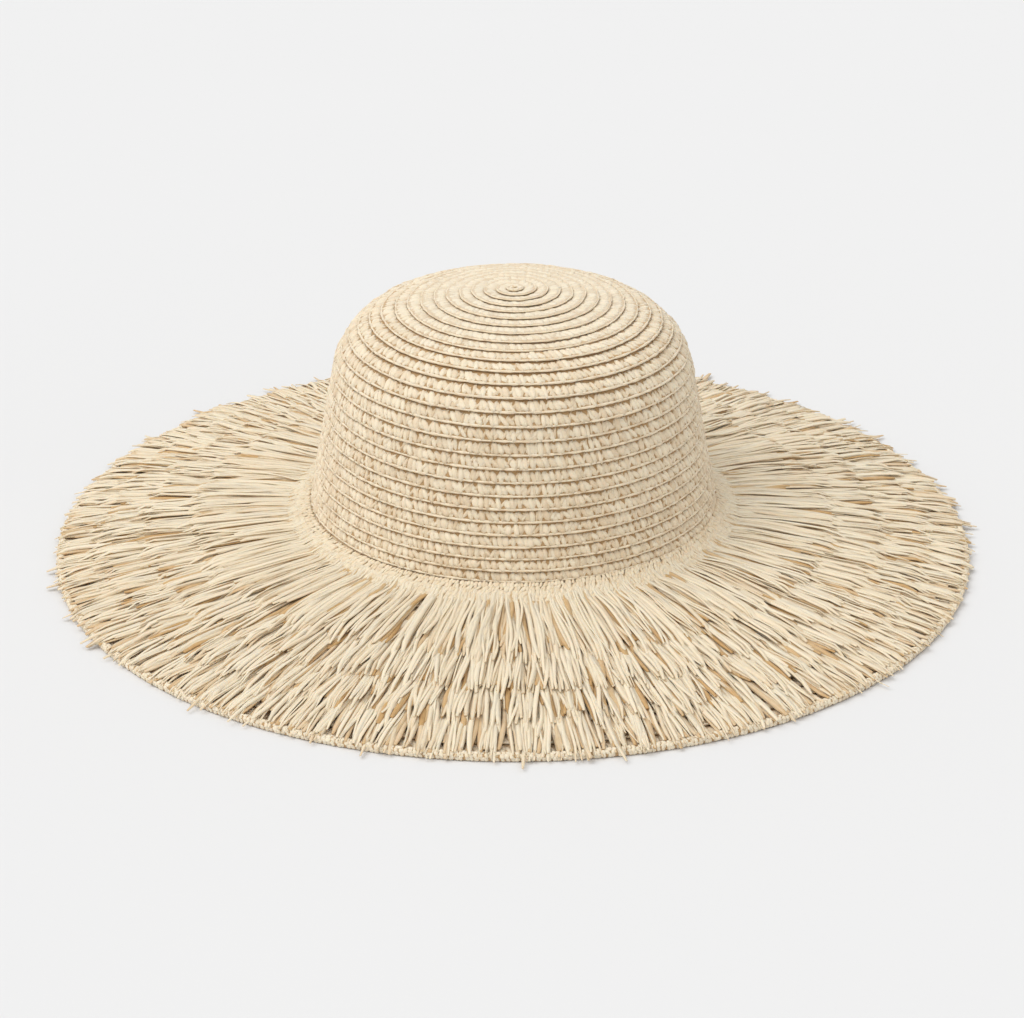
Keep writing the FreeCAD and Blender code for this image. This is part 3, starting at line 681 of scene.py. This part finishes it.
def tier_strands(tier, fringe):
    """The strands of one tier: plump, drawn together in tufts, cut unevenly and lying in layers."""
    rng = np.random.default_rng(fringe.seed * 10 + tier)
    plan, count, outermost = TIER_PLANS[tier - 1], fringe.strands[tier - 1], tier == TIERS
    held, root, tip = tier_line(tier)
    start = held[0] + plan["hidden"]
    t = np.linspace(0.0, 1.0, plan["steps"])[None, :]
    # Every so many strands one lies in a bed beneath, toned darker as painted shade.
    shade_bed = np.arange(count) % BED_EVERY == 0

    # Where each strand starts, and the tuft that it is drawn to.
    azimuth = (np.arange(count) + rng.uniform(-0.6, 0.6, count)) / count * 2 * math.pi
    tuft = np.repeat(np.arange(count), rng.integers(2, 8, count))[:count]
    tufts = tuft[-1] + 1
    centre = (np.bincount(tuft, azimuth) / np.bincount(tuft))[tuft]
    pull = rng.uniform(-0.25, 0.8, tufts)[tuft] * fringe.gather
    lean = rng.normal(0.0, 0.055, tufts)[tuft] + rng.normal(0.0, 0.028, count)

    # How far each reaches: frayed, some cut short, and some strands and tufts that stray past the rest.
    fray = np.sin(azimuth).clip(0.0, 1.0) if outermost else 1.0 - np.exp(-(((azimuth - NEATEST) / 0.4) ** 2))
    ragged = plan["ragged"] + plan["frayed"] * fray
    length = ragged * (rng.normal(0.0, 1.0, count) + rng.normal(0.0, 0.6, tufts)[tuft])
    length -= np.where(shade_bed, 0.001 if outermost else 0.005, 0.0)
    length -= np.where(rng.random(count) < 0.15, rng.uniform(0.002, 0.012, count), 0.0)
    length += np.where(rng.random(count) < fringe.strays, rng.uniform(0.001, 0.006, count), 0.0)
    length += np.where(rng.random(tufts) < fringe.strays / 2, rng.uniform(0.003, 0.007, tufts), 0.0)[tuft]
    end = tip[0] + plan["reach"] + length

    # Its path from above.
    layer = rng.random(count)[:, None]
    pull, lean, layer[shade_bed] = np.where(shade_bed, 0.0, pull), np.where(shade_bed, BED_LEAN, 1.0) * lean, 0.0
    radius = start + (end - start)[:, None] * t
    wave = rng.normal(0.0, 1.0, (3, count, 1))
    swing = lean[:, None] * (radius - start)
    swing += 0.0012 * wave[0] * np.sin(math.pi * t) + 0.0007 * wave[1] * np.sin(2 * math.pi * t + wave[2])
    drawn = (centre - azimuth)[:, None] * pull[:, None] * np.sin(0.5 * math.pi * np.clip(t * 1.4, 0.0, 1.0))
    turned = azimuth[:, None] + drawn + swing / radius

    # Its height: in its layer, drooping past the tier's edge, and clear of the cords and the rolled edge.
    height = np.interp(radius, (held[0], root[0], tip[0]), (held[1], root[1], tip[1]))
    height += (plan["low"] + plan["loft"] * layer) * np.clip((radius - start) / 0.02, 0.25, 1.0)
    height += 0.00035 * wave[1] * np.sin(t * (4.0 + wave[2]))
    beyond = np.clip(radius - tip[0] + 0.006, 0.0, None)
    height -= beyond**2 * rng.uniform(10.0, 55.0, (count, 1))
    clear = winding.brim_height(radius) + STRAND_CLEARANCE
    rolled = np.interp(radius, (BRIM_END, 0.2205, 0.2232, 0.2262), (0.0, 0.0043, 0.0043, 0.0018))
    height = np.maximum(height, np.where(radius < BRIM_END, clear, rolled))

    # Its width, roll and tone.
    width = rng.normal(1.0, 0.2, count)[:, None].clip(0.6, 1.5) * fringe.width * np.where(shade_bed, BED_WIDTH, 1.0)[:, None]
    shape = np.interp(t, (0.0, 0.2, 0.5, 0.9, 1.0), (0.7, 0.85, 1.0, 0.9, 0.5))
    roll = (rng.normal(0.0, 0.25, (count, 1)) + rng.normal(0.0, 0.45, (count, 1)) * t) * (1.0 - shade_bed[:, None])
    # The bed and the lower strands are darker, painted shade beneath the top strands; the rest of the spread is random.
    tone = np.where(shade_bed[:, None], plan["tone"], 0.50 + 0.24 * layer**0.7) + rng.normal(0.0, 0.05, (count, 1))
    shade = tone + 0.07 * (1.0 - t) ** 2 - 0.06 * t**12
    return around(radius, height, turned), width * shape / 2, roll, shade


def knot_ground(name):
    """Close rows of knots over the first header tape, each at a share of the way from tape to fringe."""
    held, root, _ = tier_line(1)
    up = (root - held) / np.hypot(*(root - held))
    out = np.array((-up[1], up[0]))
    ground = Ground()
    for share, reach in ((-0.05, 0.0015), (0.2, 0.0021), (0.46, 0.0021), (0.73, 0.0021), (1.0, 0.0021)):
        ground.ring(held + (root - held) * share + out * 0.0002, up, out, full_circle(300), reach=reach, plump=0.9)
    return ground.make(name)


# ---- the lining


@cache
def dash_tree():
    """Lays a short capsule of thread at each step along each guide line."""
    tree = Tree("Sewn dashes", Stitch_length=0.0034, Gap=0.0012, Thread_radius=0.0002, Seed=1, Material=None)
    line = tree.geometry("MeshToCurve", Mesh=tree.value("Geometry"))
    points = tree.along(line, tree.plus(tree.value("Stitch length"), tree.value("Gap")))
    facing = {"Vector": socket(points.outputs, "Tangent")}
    facing = tree.node("FunctionNodeAlignRotationToVector", {"axis": "X"}, **facing).outputs[0]
    radius = tree.value("Thread radius")
    half = tree.times(tree.value("Stitch length"), tree.random(0.46, 0.54, tree.value("Seed")))
    laid = {"Points": points.outputs[0], "Instance": tree.ball(8, 6), "Rotation": facing}
    return tree.finish(tree.geometry("InstanceOnPoints", **laid, Scale=tree.vector(half, radius, radius)))


def band_line():
    """The sweatband's cloth, from its top edge down and out to the flange's end, as radii and heights."""
    points = outline("sweatband")
    inner, end = points[:, RADIUS].min(), extreme(points, RADIUS).mean(0)
    crest = extreme(points, HEIGHT, room=0.0001)
    half = (crest[:, RADIUS].max() - inner) / 2
    fold = extreme(points, RADIUS, -1, room=0.0001)[:, HEIGHT].min()
    upright = np.column_stack((np.full(15, inner + half), np.linspace(crest[:, HEIGHT].max(), fold + 0.0014, 15)))
    corner = np.array((inner + half, fold + 0.0002))
    ease = np.linspace(0.0, 1.0, 6)[1:, None]
    away = corner + (end - corner) * 0.25
    bend = (1 - ease) ** 2 * upright[-1] + 2 * ease * (1 - ease) * corner + ease**2 * away
    flange = away + (end - away) * np.linspace(0.0, 1.0, 5)[1:, None]
    return np.concatenate((upright, bend, flange)), half


def cloth_band(name, line, half, lap, ripple, steps=360):
    """A ribbon sewn into a ring: its ends lap at the back, and its free edge ripples a little."""
    rng = np.random.default_rng(5)
    turn = np.linspace(-0.5, 0.5, steps + 1)
    azimuth = math.pi * 1.5 + turn * (2 * math.pi + lap)
    tangent = np.gradient(line, axis=0)
    normal = np.column_stack((-tangent[:, 1], tangent[:, 0])) / np.hypot(*tangent.T)[:, None]
    loose = np.clip((line[:, 1] - line[:, 1].min()) / np.ptp(line[:, 1]), 0.0, 1.0)
    wave = sum(rng.uniform(0.3, 1.0) * np.sin(n * azimuth + rng.uniform(0.0, 6.0)) / n for n in (3, 5, 8, 13))
    tucked = 0.0005 * np.clip((turn - 0.48) / 0.02, 0.0, 1.0)
    shift = ripple * wave[:, None] * loose - tucked[:, None]
    rings = [
        around(side[None, :, 0] + moved, side[None, :, 1], azimuth[:, None])
        for side, moved in ((line + normal * half, shift), ((line - normal * half)[::-1], shift[:, ::-1]))
    ]
    rings = np.concatenate(rings, axis=1)
    return make_object(name, rings, band_faces(steps + 1, rings.shape[1], False))


def cloth_patch(name, corners, half, curl, rows=8, columns=16):
    """A small rectangle of cloth, closed all round, whose lower corners curl outwards a little."""
    top_left, top_right, low_left, low_right = (Vector(c) for c in corners)
    normal = (top_right - top_left).cross(low_left - top_left).normalized()
    sides = []
    for side in (1.0, -1.0):
        for v in (row / rows for row in range(rows + 1)):
            for u in (column / columns for column in range(columns + 1)):
                place = top_left.lerp(top_right, u).lerp(low_left.lerp(low_right, u), v)
                sides.append(tuple(place + normal * (side * half + curl * v * v * (2 * u - 1) ** 2)))
    wide, total = columns + 1, (rows + 1) * (columns + 1)
    faces = []
    for row in range(rows):
        for n in range(row * wide, row * wide + columns):
            faces.append((n, n + wide, n + wide + 1, n + 1))
            faces.append((total + n, total + n + 1, total + n + wide + 1, total + n + wide))
    rim = list(range(columns)) + [row * wide + columns for row in range(rows)]
    rim += [rows * wide + column for column in range(columns, 0, -1)] + [row * wide for row in range(rows, 0, -1)]
    for here, there in zip(rim, rim[1:] + rim[:1]):
        faces.append((here, there, total + there, total + here))
    piece = make_object(name, sides, faces)
    shell = bmesh.new()
    shell.from_mesh(piece.data)
    bmesh.ops.recalc_face_normals(shell, faces=shell.faces)
    shell.to_mesh(piece.data)
    shell.free()
    return piece


def finish_cloth(piece, kind):
    piece.data.materials.append(material(kind))
    for face in piece.data.polygons:
        face.use_smooth = True


# ---- what a user can change


def number(name, description, default, **more):
    return bpy.props.FloatProperty(name=name, description=description, default=default, **more)


def length(name, description, default, least=0.00005, most=0.02):
    return number(name, description, default, min=least, max=most, precision=5, unit="LENGTH")


def share(name, description, default, most=1.0):
    return number(name, description, default, min=0.0, max=most, subtype="FACTOR")


def angle(name, description, degrees):
    return number(name, description, math.radians(degrees), subtype="ANGLE")


def colour(name, description, default):
    return bpy.props.FloatVectorProperty(
        name=name, description=description, default=default, size=3, min=0.0, max=1.0, subtype="COLOR"
    )


def arrangement(default):
    return bpy.props.IntProperty(name="Seed", description="Picks another arrangement of the same kind", default=default)


class HatBraidSettings(bpy.types.PropertyGroup):
    spacing: length("Stitch Spacing", "Distance between the plump stitches along the braid", 0.0030)
    width: length("Stitch Width", "Width of a stitch, across its length", 0.0034)
    depth: length("Stitch Depth", "How far a stitch swells out of the braid on either face", 0.00095)
    fill: share("Stitch Fill", "Length of a stitch as a share of the room between two cords", 1.29, 1.5)
    lean: angle("Lean", "Slant of the stitches", 26.0)
    unevenness: share("Unevenness", "How much the stitches differ from each other", 1.0, 2.0)
    cord_tone: share("Cord Tone", "How light the cord along each row is", 0.74)
    tone: share("Tone", "How light the stitches are", 0.72)
    tone_spread: share("Tone Spread", "How much the stitches differ in tone", 0.11)
    seed: arrangement(11)


class HatFringeSettings(bpy.types.PropertyGroup):
    strands: bpy.props.IntVectorProperty(
        name="Strands",
        description="Number of strands in each tier, from the crown out",
        default=(1500, 1640, 1740, 1640),
        size=4,
    )
    width: length("Strand Width", "Width of a strand across its flat side", 0.0022)
    flatness: share("Flatness", "Thickness of a strand as a share of its width", 0.38)
    gather: share("Gather", "How strongly the strands draw together in tufts", 0.75)
    strays: share("Strays", "Share of strands that hang past the rest", 0.04)
    seed: arrangement(4)


class HatLiningSettings(bpy.types.PropertyGroup):
    ripple: length("Ripple", "How far the sweatband's free edge waves in and out", 0.0003)
    lap: length("Lap", "How far the sweatband's ends overlap at the back", 0.012)
    stitch: length("Stitch Length", "Length of the sweatband's stitches", 0.0034)
    gap: length("Stitch Gap", "Distance between the sweatband's stitches", 0.0012)


class HatColourSettings(bpy.types.PropertyGroup):
    straw_light: colour("Straw, Light", "Colour of the braid where it catches the light", (0.895, 0.785, 0.60))
    # The dark straw colour is partly painted shade: the strips between the stitches take it for the creases.
    straw_dark: colour("Straw, Dark", "Colour in the braid's creases", (0.50, 0.31, 0.14))
    raffia_light: colour("Raffia, Light", "Colour of the palest strands", (0.84, 0.75, 0.58))
    # The dark raffia colour is partly painted shade: the bed and the lower strands are toned towards it.
    raffia_dark: colour("Raffia, Dark", "Colour of the darkest strands", (0.53, 0.325, 0.13))
    tape: colour("Tape", "Colour of the header tapes", (0.72, 0.54, 0.32))
    ribbon: colour("Ribbon", "Colour of the sweatband", (0.76, 0.66, 0.50))
    thread: colour("Thread", "Colour of the sewing thread", (0.70, 0.57, 0.38))
    label: colour("Label", "Colour of the blank label", (0.86, 0.83, 0.76))


class HatStageSettings(bpy.types.PropertyGroup):
    lens: number("Lens", "Focal length in millimetres", 104.0, min=10.0)
    distance: length("Distance", "From the camera to the hat", 1.47, 0.1, 10.0)
    elevation: angle("Elevation", "How far the camera looks down", 25.35)
    key: number("Key Light", "Strength of the main light", 1.70, min=0.0)
    fill: number("Fill Light", "Strength of the fill", 0.44, min=0.0)
    sky: share("Surroundings", "Brightness of the light from all around", 0.70, 2.0)
    floor: colour("Floor", "Colour of the floor", (0.70, 0.70, 0.70))


# ---- operators


class HAT_OT_coil_crown(bpy.types.Operator):
    """Coil the braid from the tip down to the foot of the crown"""

    bl_idname = "hat.coil_crown"
    bl_label = "Coil the Crown"

    def execute(self, context):
        turns = [("crown_tip_button", -0.75, 0.5)]
        turns += [(winding.names[n], n + 0.5, n + 1.5) for n in range(CROWN_TURNS)]
        braid = context.scene.hat_braid
        for number, (name, first, last) in enumerate(turns):
            flat = float(np.interp(number, (7, 13), (1.0, 0.0)))
            piece = braid_turn(name + "_braid", first, last, flat)
            stitch_braid(
                piece,
                number * 97,
                Fill=braid.fill + 0.15 * flat,
                Width=braid.width + 0.0012 * flat,
                Tone=braid.tone + 0.08 * flat,
                Unevenness=braid.unevenness * (1.0 - 0.4 * flat),
                Cord_radius=CORD_RADIUS * float(np.interp(number, (0, 2, 7, 13), (0.45, 0.6, 0.6, 0.88))),
            )
            dress(piece, "paper_braid", name)
        return {"FINISHED"}


class HAT_OT_coil_brim(bpy.types.Operator):
    """Coil the braid on from the crown to the rolled edge of the brim"""

    bl_idname = "hat.coil_brim"
    bl_label = "Coil the Brim"

    def execute(self, context):
        for number in range(CROWN_TURNS, winding.last):
            last = number + (1.5 if number + 1 < winding.last else 1.75)
            # The brim's strips carry a lighter painted shade between their stitches than the crown's.
            piece = braid_turn(winding.names[number] + "_braid", number + 0.5, last, tone=0.4, step=0.0035)
            under_fringe = number + 3 < winding.last
            coarser = {"Spacing": 0.0044, "Width": 0.0048} if under_fringe else {}
            stitch_braid(piece, number * 97, Crossed=False, **coarser)
            dress(piece, "paper_braid", winding.names[number])
        return {"FINISHED"}


class HAT_OT_bind_edge(bpy.types.Operator):
    """Roll the last width of braid round the wire at the brim's edge"""

    bl_idname = "hat.bind_edge"
    bl_label = "Bind the Edge"

    def execute(self, context):
        centre = outline("brim_edge_binding").max(0) - ROLL_RADIUS
        arc = np.radians(np.linspace(-140.0, 148.0, 25))
        wall = [(ROLL_RADIUS, a) for a in arc] + [(ROLL_HOLLOW, a) for a in arc[::-1]]
        section = np.array([centre + radius * np.array((math.cos(a), math.sin(a))) for radius, a in wall])
        section[:, HEIGHT] = section[:, HEIGHT].clip(0.00005)
        ground, azimuth = Ground(), full_circle(360)
        # The bare roll is toned dark: painted shade between its stitches.
        ground.tube(section, azimuth, 0.2)
        for angle in (-12.0, 36.0, 86.0, 134.0):
            out = np.array((math.cos(math.radians(angle)), math.sin(math.radians(angle))))
            place = centre + out * (ROLL_RADIUS - 0.00015)
            ground.ring(place, (-out[1], out[0]), out, azimuth, reach=0.00105, plump=0.5)
        piece = ground.make("brim_edge_braid")
        stitch_braid(piece, 7001, Corded=False, Crossed=False, Spacing=0.0022, Width=0.0025, Lean=0.6, Tone=0.8)
        dress(piece, "paper_braid", "brim_edge_binding")
        return {"FINISHED"}


class HAT_OT_lay_tapes(bpy.types.Operator):
    """Lay the header tapes round the brim, overcast with thread"""

    bl_idname = "hat.lay_tapes"
    bl_label = "Lay the Header Tapes"

    def execute(self, context):
        for tier in range(1, TIERS + 1):
            name = "fringe_header_tape_%d" % tier
            points, azimuth = outline(name), full_circle(300)
            inner, outer = extreme(points, RADIUS, -1), extreme(points, RADIUS)
            inner, outer = inner[inner[:, HEIGHT].argsort()], outer[outer[:, HEIGHT].argsort()]
            section = np.array((inner[0], outer[0], outer[-1], inner[-1]))
            across = section[2] - section[3]
            width = np.hypot(*across)
            up = across / width
            out = np.array((-up[1], up[0]))
            ground = Ground()
            ground.tube(section, azimuth, 0.5)
            middle = (section[2] + section[3]) / 2 - out * 0.00005
            ground.ring(middle, up, out, azimuth, reach=width / 2 * 0.94, plump=0.35)
            piece = ground.make(name + "_sewn")
            changed = {"Spacing": 0.0024, "Width": 0.0007, "Corded": False, "Lean": 0.35}
            stitch_braid(piece, 8000 + tier, **changed, Material=material("tape"))
            dress(piece, "cotton_tape", name)
        return {"FINISHED"}


class HAT_OT_tie_fringe(bpy.types.Operator):
    """Tie on the four tiers of fringe, with the knots that show at the foot of the crown"""

    bl_idname = "hat.tie_fringe"
    bl_label = "Tie the Fringe"

    def execute(self, context):
        fringe = context.scene.hat_fringe
        for tier in range(1, TIERS + 1):
            name = "fringe_tier_%d" % tier
            piece = strand_lines(name + "_strands", *tier_strands(tier, fringe))
            apply_tree(piece, fringe_tree(), Flatness=fringe.flatness, Corners=5, Material=material("raffia"))
            dress(piece, "raffia_fringe", name)
        piece = knot_ground("fringe_tier_1_knots")
        changed = {"Spacing": 0.0017, "Width": 0.0020, "Depth": 0.0006, "Corded": False, "Crossed": False}
        changed.update(Lean=-0.35, Unevenness=1.2, Tone=0.62, Tone_spread=0.09, Material=material("raffia"))
        stitch_braid(piece, 9001, **changed)
        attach(piece, "root")
        return {"FINISHED"}


class HAT_OT_fit_sweatband(bpy.types.Operator):
    """Fit the ribbon sweatband inside the crown"""

    bl_idname = "hat.fit_sweatband"
    bl_label = "Fit the Sweatband"

    def execute(self, context):
        lining = context.scene.hat_lining
        line, half = band_line()
        piece = cloth_band("sweatband_ribbon", line, half, lining.lap / line[0, 0], lining.ripple)
        finish_cloth(piece, "grosgrain")
        dress(piece, "grosgrain", "sweatband")
        return {"FINISHED"}


class HAT_OT_sew_sweatband(bpy.types.Operator):
    """Sew the sweatband's flange to the braid"""

    bl_idname = "hat.sew_sweatband"
    bl_label = "Sew the Sweatband"

    def execute(self, context):
        lining, points = context.scene.hat_lining, outline("sweatband_stitching")
        seam, steps = (points.max(0) + points.min(0)) / 2, 400
        edges = [(n, (n + 1) % steps) for n in range(steps)]
        piece = make_object("sweatband_seam", around(*seam, full_circle(steps)), (), edges)
        given = {"Stitch_length": lining.stitch, "Gap": lining.gap, "Thread_radius": float(np.ptp(points[:, 0]) / 2)}
        apply_tree(piece, dash_tree(), **given, Seed=3, Material=material("thread"))
        dress(piece, "sewing_thread", "sweatband_stitching")
        return {"FINISHED"}


class HAT_OT_sew_label(bpy.types.Operator):
    """Hang the blank label from the sweatband at the back"""

    bl_idname = "hat.sew_label"
    bl_label = "Sew the Label"

    def execute(self, context):
        corners = np.array([v.co[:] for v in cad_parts["size_label"].data.vertices])
        left, right = corners[:, 0].min(), corners[:, 0].max()
        top, low = (extreme(corners, 2, side, room=0.0003)[:, 1:].mean(0) for side in (1, -1))
        places = [(left, *top), (right, *top), (left, *low), (right, *low)]
        piece = cloth_patch("size_label_cloth", places, LABEL_THICKNESS / 2, 0.0007)
        finish_cloth(piece, "label")
        dress(piece, "label_cloth", "size_label")
        return {"FINISHED"}


class HAT_OT_finish_wire(bpy.types.Operator):
    """Give the edge wire and its sleeve their drawn-steel finish"""

    bl_idname = "hat.finish_wire"
    bl_label = "Finish the Wire"

    def execute(self, context):
        for name in ("brim_edge_wire", "wire_joint_sleeve"):
            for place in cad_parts[name].material_slots:
                place.material = material("steel")
        return {"FINISHED"}


class HAT_OT_set_stage(bpy.types.Operator):
    """Set up the floor, the lights and the camera"""

    bl_idname = "hat.set_stage"
    bl_label = "Set the Stage"

    def execute(self, context):
        stage, scene = context.scene.hat_stage, context.scene
        floor = make_object("floor", FLOOR_CORNERS, [(0, 1, 2, 3)])
        plain = Finish("studio_floor")
        pale = tuple(stage.floor)
        stops = (0.3, mixed(pale, (0.8, 0.8, 0.8), 0.04)), (0.7, pale)
        floor.data.materials.append(plain.finish(plain.noise(3.0, 2.0), stops, Roughness=0.9))
        world = bpy.data.worlds.new("studio")
        world.use_nodes = True
        sky = world.node_tree.nodes["Background"].inputs
        sky["Color"].default_value, sky["Strength"].default_value = (1.0, 1.0, 1.0, 1.0), stage.sky
        scene.world = world
        for name, place, softness in LIGHTS:
            add_light(name, place, math.radians(softness), getattr(stage, name))
        data = bpy.data.cameras.new("camera")
        data.lens, data.sensor_width, data.clip_start = stage.lens, 36.0, 0.01
        camera = bpy.data.objects.new("camera", data)
        scene.collection.objects.link(camera)
        reach, rise = math.cos(stage.elevation), math.sin(stage.elevation)
        camera.location = (0.0, -stage.distance * reach, stage.distance * rise)
        camera.rotation_euler = (CAMERA_AIM - camera.location).to_track_quat("-Z", "Y").to_euler()
        scene.camera = camera
        scene.view_settings.view_transform = "Standard"
        return {"FINISHED"}


def add_light(name, place, softness, strength):
    """A distant light that shines from a place towards the hat, as soft as it is wide in the sky."""
    data = bpy.data.lights.new(name, "SUN")
    data.angle, data.energy = softness, strength
    light = bpy.data.objects.new(name, data)
    bpy.context.scene.collection.objects.link(light)
    light.location = place
    light.rotation_euler = (-light.location).to_track_quat("-Z", "Y").to_euler()


class HAT_PT_hat(bpy.types.Panel):
    """The hat's settings and the steps that build it"""

    bl_label = "Straw Sun Hat"
    bl_idname = "HAT_PT_hat"
    bl_space_type = "VIEW_3D"
    bl_region_type = "UI"
    bl_category = "Hat"

    def draw(self, context):
        for title, key, group in SETTINGS:
            box = self.layout.box()
            box.label(text=title)
            for field in group.__annotations__:
                box.prop(getattr(context.scene, key), field)
        steps = self.layout.column(align=True)
        for operator in OPERATORS:
            steps.operator(operator.bl_idname)


SETTINGS = (
    ("Braid", "hat_braid", HatBraidSettings),
    ("Fringe", "hat_fringe", HatFringeSettings),
    ("Lining", "hat_lining", HatLiningSettings),
    ("Colours", "hat_colours", HatColourSettings),
    ("Stage", "hat_stage", HatStageSettings),
)
OPERATORS = (
    HAT_OT_coil_crown,
    HAT_OT_coil_brim,
    HAT_OT_bind_edge,
    HAT_OT_lay_tapes,
    HAT_OT_tie_fringe,
    HAT_OT_fit_sweatband,
    HAT_OT_sew_sweatband,
    HAT_OT_sew_label,
    HAT_OT_finish_wire,
    HAT_OT_set_stage,
)


def register():
    for _, key, group in SETTINGS:
        bpy.utils.register_class(group)
        setattr(bpy.types.Scene, key, bpy.props.PointerProperty(type=group))
    for kind in (*OPERATORS, HAT_PT_hat):
        bpy.utils.register_class(kind)


def unregister():
    for kind in (HAT_PT_hat, *reversed(OPERATORS)):
        bpy.utils.unregister_class(kind)
    for _, key, group in reversed(SETTINGS):
        delattr(bpy.types.Scene, key)
        bpy.utils.unregister_class(group)


def main():
    register()
    bpy.ops.hat.coil_crown()
    bpy.ops.hat.coil_brim()
    bpy.ops.hat.bind_edge()
    bpy.ops.hat.lay_tapes()
    bpy.ops.hat.tie_fringe()
    bpy.ops.hat.fit_sweatband()
    bpy.ops.hat.sew_sweatband()
    bpy.ops.hat.sew_label()
    bpy.ops.hat.finish_wire()
    bpy.ops.hat.set_stage()


if __name__ == "__main__":
    main()
